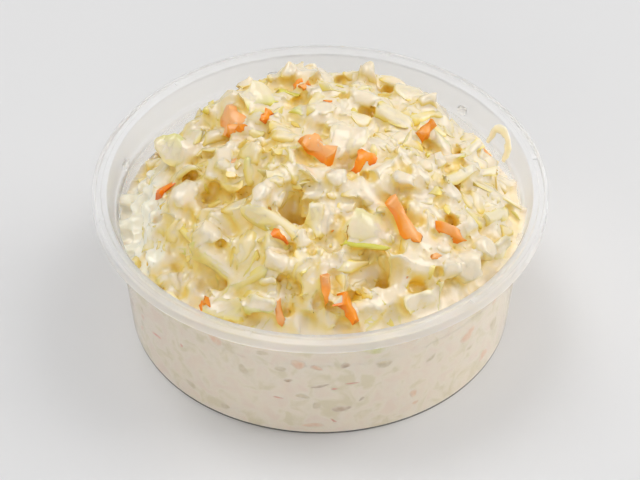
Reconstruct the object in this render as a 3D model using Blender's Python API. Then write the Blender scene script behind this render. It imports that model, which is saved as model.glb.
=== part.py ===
"""Coleslaw heaped in a round, clear deli cup.

Metres, +Z up. The origin is the centre of the cup's flat foot. The cup is turned from one
closed profile, with small ribs and lugs joined on, and the salad is one solid: it fills the
cup out to the wall and rises above the rim as an uneven, leaning mound.
"""

import math
import random

import bmesh
import bpy
from mathutils import Matrix

# Cup: the rim takes a standard 117 mm deli lid.
RIM_RADIUS = 0.0585
CUP_HEIGHT = 0.0400
WALL = 0.0007
FLOOR = 0.0009
FOOT_RADIUS = 0.0498          # outside, at the top of the rounded bottom corner
CORNER = 0.0020               # outside radius of that corner
WALL_TOP_RADIUS = 0.0526      # outside, under the stacking ledge
LEDGE_Z = 0.0334              # outside height at which the wall steps out
LEDGE_STEP = 0.0010           # how far the ledge steps out
LEDGE_RISE = 0.0006
COLLAR_TOP_RADIUS = 0.0549    # outside, where the collar meets the flange
FLANGE_THICKNESS = 0.0010
CHANNEL_DEPTH = 0.0004        # of the groove round the top of the flange
CHANNEL_INNER = 0.0560
CHANNEL_OUTER = 0.0576
RIM_ROUND = 0.0004
LIP_DROP = 0.0030             # height of the rim's turned-down edge
LIP_WIDTH = 0.0007
AROUND = 80                   # facets round every turned shape

# Small moulded details: ribs across the groove, and lugs above the ledge that free a stack.
RIBS = 6
RIB_WIDTH = 0.0017
RIB_SUNK = 0.0001             # of a rib's top below the rim's
RIB_TURN = math.radians(12)
LUG_WIDTH = 0.0026
LUG_HEIGHT = 0.0021           # from the ledge's outside, so about 1.4 mm shows inside
LUG_DEPTH = 0.0014            # radial, half of it sunk in the collar
LUG_RADIUS = 0.05275
LUG_TURN = math.radians(-16)

# Salad: it lies higher along the wall towards the front, and a low margin of dressed salad
# is left between the mound's foot and the wall, widest at the back.
GAP = 0.0003                  # to the cup, all round
LEVEL_MEAN = 0.0330           # height of the salad along the wall
LEVEL_LEAN = 0.0045
LEAN_ANGLE = math.radians(290)
MARGIN_MEAN = 0.0030
MARGIN_LEAN = 0.0040
PEAK_HEIGHT = 0.0578
PEAK_X = -0.0020
PEAK_Y = 0.0140
FULLNESS = 3.0                # a higher number keeps the mound's top broader
FLANK = 0.9                   # a lower number makes its foot steeper
HOLLOW_DEPTH = 0.0045         # the low place at the left, behind a shelf of dressed salad
HOLLOW_X = -0.0310
HOLLOW_Y = 0.0000
HOLLOW_SPREAD = 0.0090
LUMPS = 230
LUMP_RADIUS = (0.0026, 0.0050)
LUMP_LENGTH = (1.0, 2.1)      # length of a lump for its width
LUMP_HEIGHT = (0.0006, 0.0034)
LUMP_TILT = 0.25
LUMP_BLUNTNESS = 0.35         # a lower number gives flatter tops and steeper sides
RINGS = 24                    # ring number n has 6 n corners, so the triangles stay even
SIDE_SHARES = (1.0, 0.67, 0.33, 0.0)


def clear_scene():
    """Leave no object of the start-up file in the model."""
    for thing in list(bpy.data.objects):
        bpy.data.objects.remove(thing, do_unlink=True)


def make_material(name, color, roughness, alpha=1.0):
    """A plain Principled material."""
    material = bpy.data.materials.new(name)
    material.use_nodes = True
    shader = material.node_tree.nodes["Principled BSDF"]
    shader.inputs["Base Color"].default_value = (*color, 1.0)
    shader.inputs["Roughness"].default_value = roughness
    shader.inputs["Metallic"].default_value = 0.0
    shader.inputs["Alpha"].default_value = alpha
    return material


def add_object(name, mesh, material=None):
    """Link a mesh to the scene as a named object."""
    thing = bpy.data.objects.new(name, mesh)
    bpy.context.scene.collection.objects.link(thing)
    if material:
        mesh.materials.append(material)
    return thing


def arc(center_r, center_z, radius, start, end, steps=3):
    """Points of a round corner of a profile, from angle start to angle end in degrees."""
    points = []
    for step in range(steps + 1):
        angle = math.radians(start + (end - start) * step / steps)
        points.append((center_r + radius * math.cos(angle), center_z + radius * math.sin(angle)))
    return points


def wall_inside(z):
    """Inner radius of the tapered wall at height z, below the ledge."""
    low = CORNER
    share = (z - low) / (LEDGE_Z - low)
    return FOOT_RADIUS - WALL + (WALL_TOP_RADIUS - FOOT_RADIUS) * share


def cup_profile():
    """Half section of the cup: out along the inner floor, up, over the rim and down outside."""
    top = CUP_HEIGHT
    inner_corner = CORNER - WALL
    inner_foot = FOOT_RADIUS - WALL
    ledge_in = WALL_TOP_RADIUS - WALL
    ledge_top = LEDGE_Z + LEDGE_RISE + WALL / 2
    flange_under = top - FLANGE_THICKNESS
    collar_in = COLLAR_TOP_RADIUS - WALL + RIM_ROUND
    slant = RIM_ROUND * 0.75

    profile = [(0.0, FLOOR)]
    profile += arc(inner_foot - inner_corner, FLOOR + inner_corner, inner_corner, -90, 0)
    profile += [(ledge_in, LEDGE_Z + WALL / 2), (ledge_in + LEDGE_STEP, ledge_top)]
    profile += arc(collar_in + RIM_ROUND, top - RIM_ROUND, RIM_ROUND, 180, 90, 2)
    profile += [(CHANNEL_INNER, top), (CHANNEL_INNER + slant, top - CHANNEL_DEPTH)]
    profile += [(CHANNEL_OUTER - slant, top - CHANNEL_DEPTH), (CHANNEL_OUTER, top)]
    profile += arc(RIM_RADIUS - RIM_ROUND, top - RIM_ROUND, RIM_ROUND, 90, 0, 2)
    profile += [(RIM_RADIUS, top - LIP_DROP), (RIM_RADIUS - LIP_WIDTH, top - LIP_DROP)]
    profile += [(RIM_RADIUS - LIP_WIDTH, flange_under), (COLLAR_TOP_RADIUS, flange_under)]
    profile += [(WALL_TOP_RADIUS + LEDGE_STEP, LEDGE_Z + LEDGE_RISE), (WALL_TOP_RADIUS, LEDGE_Z)]
    profile += arc(FOOT_RADIUS - CORNER, CORNER, CORNER, 0, -90)
    profile += [(0.0, 0.0)]
    return profile


def add_block(bm, radius, angle, z, size):
    """A box of size (radial, around, up) centred at a radius, an angle and a height."""
    corners = bmesh.ops.create_cube(bm, size=1.0)["verts"]
    bmesh.ops.scale(bm, vec=size, verts=corners)
    bmesh.ops.translate(bm, vec=(radius, 0.0, z), verts=corners)
    bmesh.ops.rotate(bm, cent=(0.0, 0.0, 0.0), matrix=Matrix.Rotation(angle, 3, "Z"), verts=corners)


def moulded_blocks():
    """The ribs in the groove and the lugs above the ledge, as one hidden guide object."""
    bm = bmesh.new()
    rib_radius = (CHANNEL_INNER + CHANNEL_OUTER) / 2
    rib_base = CUP_HEIGHT - FLANGE_THICKNESS / 2
    rib_size = (CHANNEL_OUTER - CHANNEL_INNER, RIB_WIDTH, CUP_HEIGHT - RIB_SUNK - rib_base)
    lug_base = LEDGE_Z + LEDGE_RISE
    lug_size = (LUG_DEPTH, LUG_WIDTH, LUG_HEIGHT)
    for index in range(RIBS):
        angle = 2 * math.pi * index / RIBS
        add_block(bm, rib_radius, angle + RIB_TURN, rib_base + rib_size[2] / 2, rib_size)
        add_block(bm, LUG_RADIUS, angle + LUG_TURN, lug_base + LUG_HEIGHT / 2, lug_size)
    mesh = bpy.data.meshes.new("cup_blocks")
    bm.to_mesh(mesh)
    bm.free()
    blocks = add_object("cup_blocks", mesh)
    blocks.hide_render = True
    blocks.display_type = "WIRE"
    return blocks


def make_cup():
    """The clear cup: a turned shell joined with its small moulded blocks."""
    profile = cup_profile()
    mesh = bpy.data.meshes.new("cup")
    corners = [(radius, 0.0, height) for radius, height in profile]
    edges = [(index, index + 1) for index in range(len(corners) - 1)]
    mesh.from_pydata(corners, edges, [])
    clear_plastic = make_material("clear_plastic", (0.92, 0.93, 0.93), 0.08, alpha=0.3)
    cup = add_object("cup", mesh, clear_plastic)
    turned = cup.modifiers.new("turned", "SCREW")
    turned.axis = "Z"
    turned.angle = 2 * math.pi
    turned.steps = AROUND
    turned.render_steps = AROUND
    turned.use_merge_vertices = True
    turned.merge_threshold = 0.00005
    turned.use_smooth_shade = True
    joined = cup.modifiers.new("joined", "BOOLEAN")
    joined.operation = "UNION"
    joined.solver = "EXACT"
    joined.object = moulded_blocks()
    return cup


def level_at_wall(angle):
    """Height of the salad where it meets the cup, at an angle round the cup."""
    return LEVEL_MEAN + LEVEL_LEAN * math.cos(angle - LEAN_ANGLE)


def margin_at_wall(angle):
    """Width of the low margin between the mound's foot and the cup, at an angle round it."""
    return max(0.0, MARGIN_MEAN - MARGIN_LEAN * math.cos(angle - LEAN_ANGLE))


def mound_height(x, y, edge):
    """Height of the smooth mound, which falls from its off-centre peak to the wall."""
    dx, dy = x - PEAK_X, y - PEAK_Y
    distance = math.hypot(dx, dy)
    if distance < 1e-9:
        return PEAK_HEIGHT
    ux, uy = dx / distance, dy / distance
    along = PEAK_X * ux + PEAK_Y * uy
    beyond = PEAK_X ** 2 + PEAK_Y ** 2 - edge ** 2
    reach = -along + math.sqrt(along * along - beyond)
    angle = math.atan2(PEAK_Y + uy * reach, PEAK_X + ux * reach)
    level = level_at_wall(angle)
    foot = reach * (1.0 - margin_at_wall(angle) / edge)
    share = max(0.0, 1.0 - (distance / foot) ** FULLNESS) ** FLANK
    hollow = math.hypot(x - HOLLOW_X, y - HOLLOW_Y) / HOLLOW_SPREAD
    return level + (PEAK_HEIGHT - level) * share - HOLLOW_DEPTH * math.exp(-hollow ** 2)


def scatter_lumps(edge):
    """Pieces of salad, each as (x, y, cosine, sine, half length, half width, height, tilt)."""
    chance = random.Random(41)
    lumps = []
    for _ in range(LUMPS):
        radius = (edge - LUMP_RADIUS[0]) * math.sqrt(chance.random())
        around = chance.uniform(0, 2 * math.pi)
        turn = chance.uniform(0, math.pi)
        width = chance.uniform(*LUMP_RADIUS)
        length = width * chance.uniform(*LUMP_LENGTH)
        height = chance.uniform(*LUMP_HEIGHT)
        tilt = chance.uniform(-LUMP_TILT, LUMP_TILT)
        x, y = radius * math.cos(around), radius * math.sin(around)
        lumps.append((x, y, math.cos(turn), math.sin(turn), length, width, height, tilt))
    return lumps


def lump_height(x, y, lumps):
    """How far the highest lump at this place stands above the smooth mound."""
    best = 0.0
    for lump_x, lump_y, cosine, sine, length, width, height, tilt in lumps:
        dx, dy = x - lump_x, y - lump_y
        along = dx * cosine + dy * sine
        across = dy * cosine - dx * sine
        inside = 1.0 - (along / length) ** 2 - (across / width) ** 2
        if inside > 0.0:
            best = max(best, height * inside ** LUMP_BLUNTNESS + along * tilt)
    return best


def ring_of_points(bm, count, place):
    """One ring of corners, each put by place(angle) as (x, y, z)."""
    return [bm.verts.new(place(2 * math.pi * step / count)) for step in range(count)]


def on_circle(angle, radius, z):
    """The point at this angle on a level circle about the cup's axis."""
    return (radius * math.cos(angle), radius * math.sin(angle), z)


def join_rings(bm, inner, outer):
    """Triangles between two rings, where the outer one may have six corners more."""
    a, b = 0, 0
    while a < len(inner) or b < len(outer):
        step_outer = (b + 1) * len(inner) <= (a + 1) * len(outer)
        here = (inner[a % len(inner)], outer[b % len(outer)])
        if step_outer and b < len(outer):
            bm.faces.new((*here, outer[(b + 1) % len(outer)]))
            b += 1
        else:
            bm.faces.new((*here, inner[(a + 1) % len(inner)]))
            a += 1


def make_salad():
    """The salad as one closed solid, from the cup's floor to the mound's uneven top."""
    edge = WALL_TOP_RADIUS - WALL - GAP
    lumps = scatter_lumps(edge)
    bottom = FLOOR + GAP
    low = bottom + CORNER
    rim_corners = RINGS * 6

    def top_point(radius):
        """Places a point of the mound's top at a radius."""
        def place(angle):
            x, y, _ = on_circle(angle, radius, 0.0)
            return (x, y, mound_height(x, y, edge) + lump_height(x, y, lumps))
        return place

    def side_point(share):
        """Places a point against the wall, at a share of the way up to the salad's level."""
        def place(angle):
            z = low + (level_at_wall(angle) - low) * share
            return on_circle(angle, min(edge, wall_inside(z) - GAP), z)
        return place

    def floor_point(angle):
        """Places a point on the floor, inside the cup's rounded corner."""
        return on_circle(angle, FOOT_RADIUS - WALL - CORNER, bottom)

    bm = bmesh.new()
    crown = bm.verts.new(top_point(0.0)(0.0))
    rings = [ring_of_points(bm, ring * 6, top_point(edge * ring / RINGS)) for ring in range(1, RINGS)]
    for share in SIDE_SHARES:
        rings.append(ring_of_points(bm, rim_corners, side_point(share)))
    rings.append(ring_of_points(bm, rim_corners, floor_point))
    base = bm.verts.new((0.0, 0.0, bottom))

    for inner, outer in zip(rings[:-1], rings[1:]):
        join_rings(bm, inner, outer)
    for tip, ring in ((crown, rings[0]), (base, rings[-1])):
        for index, corner in enumerate(ring):
            bm.faces.new((tip, corner, ring[(index + 1) % len(ring)]))
    bmesh.ops.recalc_face_normals(bm, faces=bm.faces)
    mesh = bpy.data.meshes.new("coleslaw")
    bm.to_mesh(mesh)
    bm.free()
    mesh.shade_smooth()
    salad = make_material("salad", (0.86, 0.80, 0.58), 0.35)
    return add_object("coleslaw", mesh, salad)


clear_scene()
make_cup()
make_salad()
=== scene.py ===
import math
import random

import bmesh
import bpy
import numpy as np
from mathutils import Matrix, Vector
from mathutils.bvhtree import BVHTree
from mathutils.kdtree import KDTree


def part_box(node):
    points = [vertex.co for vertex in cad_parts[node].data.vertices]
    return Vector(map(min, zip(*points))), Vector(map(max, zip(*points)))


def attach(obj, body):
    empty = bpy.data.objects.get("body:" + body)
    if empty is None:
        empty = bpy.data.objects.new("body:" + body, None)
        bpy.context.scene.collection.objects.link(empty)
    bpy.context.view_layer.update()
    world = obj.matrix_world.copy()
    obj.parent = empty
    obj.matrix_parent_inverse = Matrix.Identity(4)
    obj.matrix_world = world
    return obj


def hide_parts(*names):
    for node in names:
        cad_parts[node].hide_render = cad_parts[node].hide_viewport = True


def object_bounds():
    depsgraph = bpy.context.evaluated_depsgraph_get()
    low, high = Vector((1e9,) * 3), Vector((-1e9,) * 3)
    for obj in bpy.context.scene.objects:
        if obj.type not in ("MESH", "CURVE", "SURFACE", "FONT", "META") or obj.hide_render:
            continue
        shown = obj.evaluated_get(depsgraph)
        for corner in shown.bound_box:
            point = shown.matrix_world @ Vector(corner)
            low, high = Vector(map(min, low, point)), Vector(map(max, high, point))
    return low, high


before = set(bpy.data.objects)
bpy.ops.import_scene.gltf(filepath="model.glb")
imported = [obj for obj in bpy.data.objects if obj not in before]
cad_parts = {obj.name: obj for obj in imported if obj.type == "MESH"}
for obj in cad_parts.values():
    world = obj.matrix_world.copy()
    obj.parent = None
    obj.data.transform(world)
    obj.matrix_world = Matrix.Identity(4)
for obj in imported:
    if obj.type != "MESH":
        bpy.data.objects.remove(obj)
cad_low, cad_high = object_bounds()

# Camera: it looks down on the tub from the front, 42 degrees above the table, through a long lens,
# so that the round rim shows as an even ellipse.
camera_tilt = math.radians(42.1)
camera_distance = 0.782
camera_aim = Vector((0.0, 0.0, 0.0215))
camera_back = Vector((0.0, -math.cos(camera_tilt), math.sin(camera_tilt)))

bpy.ops.object.camera_add(
    location=camera_aim + camera_back * camera_distance,
    rotation=(math.pi / 2 - camera_tilt, 0.0, 0.0),
)
camera = bpy.context.active_object
camera.name = "camera"
camera.data.lens = 168.75
camera.data.sensor_width = 36.0
camera.data.clip_start = 0.01
camera.data.clip_end = 20.0
bpy.context.scene.camera = camera

# Floor and light: a plain pale table top under a soft window light from the right, a little from
# behind, in a pale room. A low soft light in front lifts the cup's side, one above the left side.
floor_color = (0.715, 0.715, 0.72, 1.0)
bpy.ops.object.select_all(action="DESELECT")
bpy.ops.mesh.primitive_plane_add(size=4.0, location=(0.0, 0.0, 0.0))
floor = bpy.context.active_object
floor.name = "floor"
floor_finish = bpy.data.materials.new("pale_table_top")
floor_finish.use_nodes = True


def set_inputs(node, values):
    for name, value in values.items():
        node.inputs[name].default_value = value


set_inputs(floor_finish.node_tree.nodes["Principled BSDF"], {"Base Color": floor_color, "Roughness": 0.45})
floor.data.materials.append(floor_finish)


def area_light(name, place, aim, size, power, color):
    bpy.ops.object.light_add(type="AREA", location=place)
    light = bpy.context.active_object
    light.name = name
    light.data.shape = "SQUARE"
    light.data.size = size
    light.data.energy = power
    light.data.color = color
    light.rotation_euler = (Vector(aim) - Vector(place)).to_track_quat("-Z", "Y").to_euler()
    return light


area_light("window", (0.868, 0.153, 0.739), (0.0, 0.0, 0.03), 0.80, 6.65, (1.0, 0.99, 0.98))
area_light("front_fill", (-0.25, -1.00, 0.32), (0.0, 0.0, 0.02), 0.80, 2.45, (1.0, 1.0, 1.0))
area_light("top_fill", (-0.45, 0.30, 1.00), (0.0, 0.0, 0.04), 0.60, 4.5, (1.0, 1.0, 1.0))
world = bpy.data.worlds.new("room")
world.use_nodes = True
set_inputs(world.node_tree.nodes["Background"], {"Color": (1.0, 1.0, 1.0, 1.0), "Strength": 0.455})
bpy.context.scene.world = world
bpy.context.scene.view_settings.view_transform = "Standard"

# The cup: a shallow round tub moulded in clear plastic, thin in the wall, with a ledge and a flared
# collar that the lid snaps into. It is turned here from its cross-section, rim, groove and all.
rim_radius = (cad_high.x - cad_low.x) / 2
cup_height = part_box("cup")[1].z
wall_thickness = 0.0007
floor_thickness = 0.0006
foot_radius = 0.0498
foot_corner = 0.0008
wall_top_radius = 0.0526
ledge_height = 0.0326
ledge_step = 0.0010
ledge_rise = 0.0019
ledge_curve = [(t / 6, (1.0 - math.cos(math.pi * t / 6)) / 2) for t in range(7)]
collar_radius = 0.0549
flange_thickness = 0.0010
groove_depth = 0.0004
groove_inner = 0.0560
groove_outer = 0.0576
rim_round = 0.0004
lip_drop = 0.0030
lip_width = 0.0007
cup_segments = 288


def arc(center_r, center_z, radius, start, end, steps=3):
    turns = [math.radians(start + (end - start) * n / steps) for n in range(steps + 1)]
    return [(center_r + radius * math.cos(a), center_z + radius * math.sin(a)) for a in turns]


def cup_section():
    inner_corner = foot_corner - wall_thickness
    inner_foot = foot_radius - wall_thickness
    ledge_in = wall_top_radius - wall_thickness
    flange_under = cup_height - flange_thickness
    collar_in = collar_radius - wall_thickness + rim_round
    slant = rim_round * 0.75
    section = [(0.0, floor_thickness)]
    section += arc(inner_foot - inner_corner, floor_thickness + inner_corner, inner_corner, -90, 0, 5)
    section += [(ledge_in + ledge_step * out, ledge_height + ledge_rise * up) for up, out in ledge_curve]
    section += arc(collar_in + rim_round, cup_height - rim_round, rim_round, 180, 90, 4)
    section += [(groove_inner, cup_height), (groove_inner + slant, cup_height - groove_depth)]
    section += [(groove_outer - slant, cup_height - groove_depth), (groove_outer, cup_height)]
    section += arc(rim_radius - rim_round, cup_height - rim_round, rim_round, 90, 0, 4)
    lip_round = lip_width / 2
    section += arc(rim_radius - lip_round, cup_height - lip_drop + lip_round, lip_round, 0, -180, 6)
    section += [(rim_radius - lip_width, flange_under), (collar_radius, flange_under)]
    for up, out in ledge_curve[::-1]:
        section += [(wall_top_radius + ledge_step * out, ledge_height + ledge_rise * up)]
    section += arc(foot_radius - foot_corner, foot_corner, foot_corner, 0, -90, 5)
    section += [(0.0, 0.0)]
    return section


def wall_inside(height):
    """Radius of the cup's inner face at a height; it works on numbers and on arrays."""
    inner_foot = foot_radius - wall_thickness
    ledge_in = wall_top_radius - wall_thickness
    heights = [0.0, foot_corner] + [ledge_height + ledge_rise * up for up, out in ledge_curve]
    radii = [inner_foot, inner_foot] + [ledge_in + ledge_step * out for up, out in ledge_curve]
    heights += [cup_height, cup_height + 0.0005]
    radii += [collar_radius - wall_thickness, rim_radius - 0.0010]
    return np.interp(height, heights, radii)


def turned(name, section, segments):
    """A solid of revolution: its section is drawn point by point and spun about the middle."""
    bpy.ops.object.select_all(action="DESELECT")
    bpy.ops.mesh.primitive_plane_add(size=0.001, location=(0.0, 0.0, 0.0))
    solid = bpy.context.active_object
    solid.name = name
    bpy.ops.object.mode_set(mode="EDIT")
    bpy.ops.mesh.select_all(action="SELECT")
    bpy.ops.mesh.merge(type="CENTER")
    bpy.ops.transform.translate(value=(section[0][0], 0.0, section[0][1]))
    for before, after in zip(section, section[1:]):
        step = (after[0] - before[0], 0.0, after[1] - before[1])
        bpy.ops.mesh.extrude_region_move(TRANSFORM_OT_translate={"value": step})
    bpy.ops.mesh.select_all(action="SELECT")
    bpy.ops.mesh.spin(steps=segments, angle=math.tau, center=(0.0, 0.0, 0.0), axis=(0.0, 0.0, 1.0))
    bpy.ops.mesh.select_all(action="SELECT")
    bpy.ops.mesh.remove_doubles(threshold=0.00001)
    bpy.ops.mesh.normals_make_consistent(inside=False)
    bpy.ops.object.mode_set(mode="OBJECT")
    return solid


def joined(name, parts):
    bpy.ops.object.select_all(action="DESELECT")
    for part in parts:
        part.select_set(True)
    bpy.context.view_layer.objects.active = parts[0]
    bpy.ops.object.join()
    whole = bpy.context.active_object
    whole.name = name
    whole.data.name = name
    return whole


def place_in_mesh(part):
    bpy.ops.object.select_all(action="DESELECT")
    part.select_set(True)
    bpy.context.view_layer.objects.active = part
    bpy.ops.object.transform_apply(location=True, rotation=True, scale=True)


cup = turned("cup", cup_section(), cup_segments)
cup_parts = [cup]
rib_width = 0.0017
rib_radius = (groove_inner + groove_outer) / 2
rib_length = groove_outer - groove_inner - 0.0002
rib_sunk = 0.0001
rib_turn = math.radians(12.0)
lug_size = (0.0014, 0.0026, 0.0021)
lug_radius = 0.05275
lug_height = 0.03495
lug_turn = math.radians(-16.0)
for number in range(6):
    sixth = math.radians(60.0) * number
    for turn, radius, height, size in (
        (rib_turn + sixth, rib_radius, cup_height - groove_depth / 2 - rib_sunk,
         (rib_length, rib_width, groove_depth)),
        (lug_turn + sixth, lug_radius, lug_height, lug_size),
    ):
        bpy.ops.object.select_all(action="DESELECT")
        bpy.ops.mesh.primitive_cube_add(
            size=1.0,
            location=(radius * math.cos(turn), radius * math.sin(turn), height),
            rotation=(0.0, 0.0, turn),
            scale=size,
        )
        nub = bpy.context.active_object
        place_in_mesh(nub)
        bpy.ops.object.mode_set(mode="EDIT")
        bpy.ops.mesh.select_all(action="SELECT")
        bpy.ops.mesh.bevel(offset=min(size) * 0.25, segments=2, affect="EDGES")
        bpy.ops.object.mode_set(mode="OBJECT")
        cup_parts.append(nub)
cup = joined("clear_cup", cup_parts)
bpy.ops.object.shade_smooth_by_angle(angle=math.radians(35.0))


def attribute(nodes, name):
    """Reads an attribute of the mesh in a finish."""
    node = nodes.new("ShaderNodeAttribute")
    node.attribute_name = name
    return node


def noise(nodes, links, scale, detail):
    """Soft noise through an object, that many times finer than a metre."""
    place = nodes.new("ShaderNodeTexCoord")
    node = nodes.new("ShaderNodeTexNoise")
    set_inputs(node, {"Scale": scale, "Detail": detail})
    links.new(place.outputs["Object"], node.inputs["Vector"])
    return node


def calculated(nodes, links, operation, *values):
    """The result of a sum made with outputs and fixed numbers."""
    node = nodes.new("ShaderNodeMath")
    node.operation = operation
    for socket, value in zip(node.inputs, values):
        if isinstance(value, float):
            socket.default_value = value
        else:
            links.new(value, socket)
    return node


def rescaled(nodes, links, value, low, high, new_low, new_high):
    """A value that ran from low to high, made to run from the new low to the new high."""
    node = nodes.new("ShaderNodeMapRange")
    set_inputs(node, {"From Min": low, "From Max": high, "To Min": new_low, "To Max": new_high})
    links.new(value, node.inputs["Value"])
    return node.outputs["Result"]


def color_mix(nodes, links, share, first, second):
    """A colour that goes from the first output to the second, or to a fixed colour."""
    mix = nodes.new("ShaderNodeMix")
    mix.data_type = "RGBA"
    links.new(share, mix.inputs["Factor"])
    links.new(first, mix.inputs["A"])
    if isinstance(second, tuple):
        mix.inputs["B"].default_value = (*second, 1.0)
    else:
        links.new(second, mix.inputs["B"])
    return mix


def bump(nodes, links, height, strength, distance):
    node = nodes.new("ShaderNodeBump")
    set_inputs(node, {"Strength": strength, "Distance": distance})
    links.new(height, node.inputs["Height"])
    return node.outputs["Normal"]


def give_finish(piece, finish):
    piece.data.materials.clear()
    piece.data.materials.append(finish)


clear = bpy.data.materials.new("clear_moulded_plastic")
clear.use_nodes = True
nodes = clear.node_tree.nodes
links = clear.node_tree.links
plastic = nodes["Principled BSDF"]
set_inputs(plastic, {
    "Base Color": (0.985, 0.985, 0.985, 1.0), "IOR": 1.24, "Transmission Weight": 0.90,
    "Specular IOR Level": 0.3,
})
# thin moulded plastic is never quite even: hazier in the thick rim and here and there in the wall,
# and faintly rippled
wall_haze = 0.19
rim_haze = 0.29
uneven_haze = 0.06
haze = noise(nodes, links, 70.0, 2.0).outputs["Fac"]
place = nodes.new("ShaderNodeTexCoord")
height = nodes.new("ShaderNodeSeparateXYZ")
links.new(place.outputs["Object"], height.inputs["Vector"])
toward_rim = rescaled(nodes, links, height.outputs["Z"], 0.0300, 0.0345, wall_haze, rim_haze)
hazier = calculated(nodes, links, "MULTIPLY_ADD", haze, uneven_haze, toward_rim)
links.new(hazier.outputs["Value"], plastic.inputs["Roughness"])
links.new(bump(nodes, links, haze, 0.15, 0.0003), plastic.inputs["Normal"])
shadow_pass = nodes.new("ShaderNodeBsdfTransparent")
shadow_pass.inputs["Color"].default_value = (0.93, 0.93, 0.93, 1.0)
light_path = nodes.new("ShaderNodeLightPath")
mix = nodes.new("ShaderNodeMixShader")
output = nodes["Material Output"]
links.new(light_path.outputs["Is Shadow Ray"], mix.inputs["Fac"])
links.new(plastic.outputs["BSDF"], mix.inputs[1])
links.new(shadow_pass.outputs["BSDF"], mix.inputs[2])
links.new(mix.outputs["Shader"], output.inputs["Surface"])
give_finish(cup, clear)
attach(cup, "root")
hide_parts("cup")

# How the salad lies: chopped cabbage and carrot, tossed in dressing and spooned in until it stands
# above the rim. Its outline is read from the frame; each bit is lowered onto those already in the
# cup, lies roughly with the slope under it, and stops where the outline is reached.
random.seed(20)
cell = 0.0005
span = 0.0600
cells = int(round(2 * span / cell)) + 1
salad_edge = 0.0513
layer_depth = 0.0066

salad_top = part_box("coleslaw")[1].z
deps = bpy.context.evaluated_depsgraph_get()
heap_tree = BVHTree.FromObject(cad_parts["coleslaw"], deps)
outline_edge = 0.0508


def outline_height(x, y):
    distance = math.hypot(x, y)
    if distance > outline_edge:
        x *= outline_edge / distance
        y *= outline_edge / distance
    return heap_tree.ray_cast(Vector((x, y, salad_top + 0.01)), Vector((0.0, 0.0, -1.0)))[0].z


def blurred(grid, width):
    """The same grid, evened out over that many cells each way, twice."""
    for _ in range(2):
        for axis in (0, 1):
            total = np.zeros_like(grid)
            for shift in range(-width, width + 1):
                total += np.roll(grid, shift, axis)
            grid = total / (2 * width + 1)
    return grid


def mound(x, y, width):
    """A smooth swelling on the grid, one high, centred there, of that width."""
    return np.exp(-((grid_x - x) ** 2 + (grid_y - y) ** 2) / (2 * width ** 2))


def rising(values, start, width):
    """A share that grows from 0 at the start to 1 over that width."""
    return np.clip((values - start) / width, 0.0, 1.0)


def cell_at(x, y):
    return int(round((x + span) / cell)), int(round((y + span) / cell))


spots = np.linspace(-span, span, cells)
outline = np.array([[outline_height(x, y) for y in spots] for x in spots])
grid_x, grid_y = np.meshgrid(spots, spots, indexing="ij")
grid_r = np.hypot(grid_x, grid_y)

# Hollows left between the bits, where the shade is deepest: place, width, depth.
hollows = [
    (0.0100, -0.0398, 0.0011, 0.0080), (0.0125, -0.0380, 0.0012, 0.0090),
    (0.0155, -0.0370, 0.0012, 0.0090), (0.0185, -0.0374, 0.0011, 0.0075),
    (0.0085, -0.0424, 0.0009, 0.0060), (-0.0268, -0.0138, 0.0018, 0.0090),
    (-0.0235, -0.0150, 0.0013, 0.0080), (-0.0192, -0.0152, 0.0016, 0.0075),
    (-0.0325, -0.0165, 0.0010, 0.0060), (-0.0322, -0.0195, 0.0010, 0.0055),
    (-0.0066, -0.0222, 0.0013, 0.0070), (-0.0038, -0.0240, 0.0011, 0.0065),
    (-0.0012, -0.0296, 0.0011, 0.0055),
    (0.0022, -0.0325, 0.0014, 0.0065), (-0.0002, -0.0322, 0.0009, 0.0050),
    (-0.0355, -0.0255, 0.0016, 0.0060), (-0.0325, -0.0280, 0.0011, 0.0045),
    (-0.0075, -0.0450, 0.0011, 0.0055), (-0.0094, -0.0430, 0.0007, 0.0045),
    (-0.0054, -0.0432, 0.0007, 0.0045),
    (-0.0275, -0.0345, 0.0014, 0.0045), (-0.0242, -0.0356, 0.0011, 0.0040),
    (0.0180, 0.0250, 0.0015, 0.0055),
    (-0.0200, 0.0330, 0.0015, 0.0050), (0.0385, -0.0325, 0.0011, 0.0045),
    (0.0410, -0.0296, 0.0010, 0.0040), (0.0358, -0.0352, 0.0010, 0.0040),
    (0.0020, 0.0380, 0.0014, 0.0050), (-0.0400, 0.0150, 0.0012, 0.0040),
]
target = outline.copy()
sunk = np.zeros_like(outline)
for x, y, width, depth in hollows:
    sunk = np.maximum(sunk, mound(x, y, width * 1.3) * depth)
target -= sunk
left_open = 0.0028
hollow = sunk > left_open
sunk *= 1.7

# Dips in the crest, seen from the front: place, width, depth.
for x, y, width, depth in (
    (0.0056, 0.0250, 0.0024, 0.0030), (0.0056, 0.0310, 0.0026, 0.0042),
    (0.0050, 0.0370, 0.0030, 0.0040), (-0.0120, 0.0330, 0.0026, 0.0020),
    (0.0168, 0.0290, 0.0018, 0.0030), (0.0120, 0.0230, 0.0020, 0.0016),
):
    dip = mound(x, y, width) * depth
    target -= dip
    sunk += dip * 1.6
# Clumps: the heap swells and dips over about a centimetre, never above its outline.
clump_depth = 0.0022
clumps = blurred(np.random.default_rng(11).random((cells, cells)), 8)
clumps = (clumps - clumps.min()) / (clumps.max() - clumps.min())
clumps = rising(clumps, 0.42, 0.35) * clump_depth
target -= clumps
sunk += clumps
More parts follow.
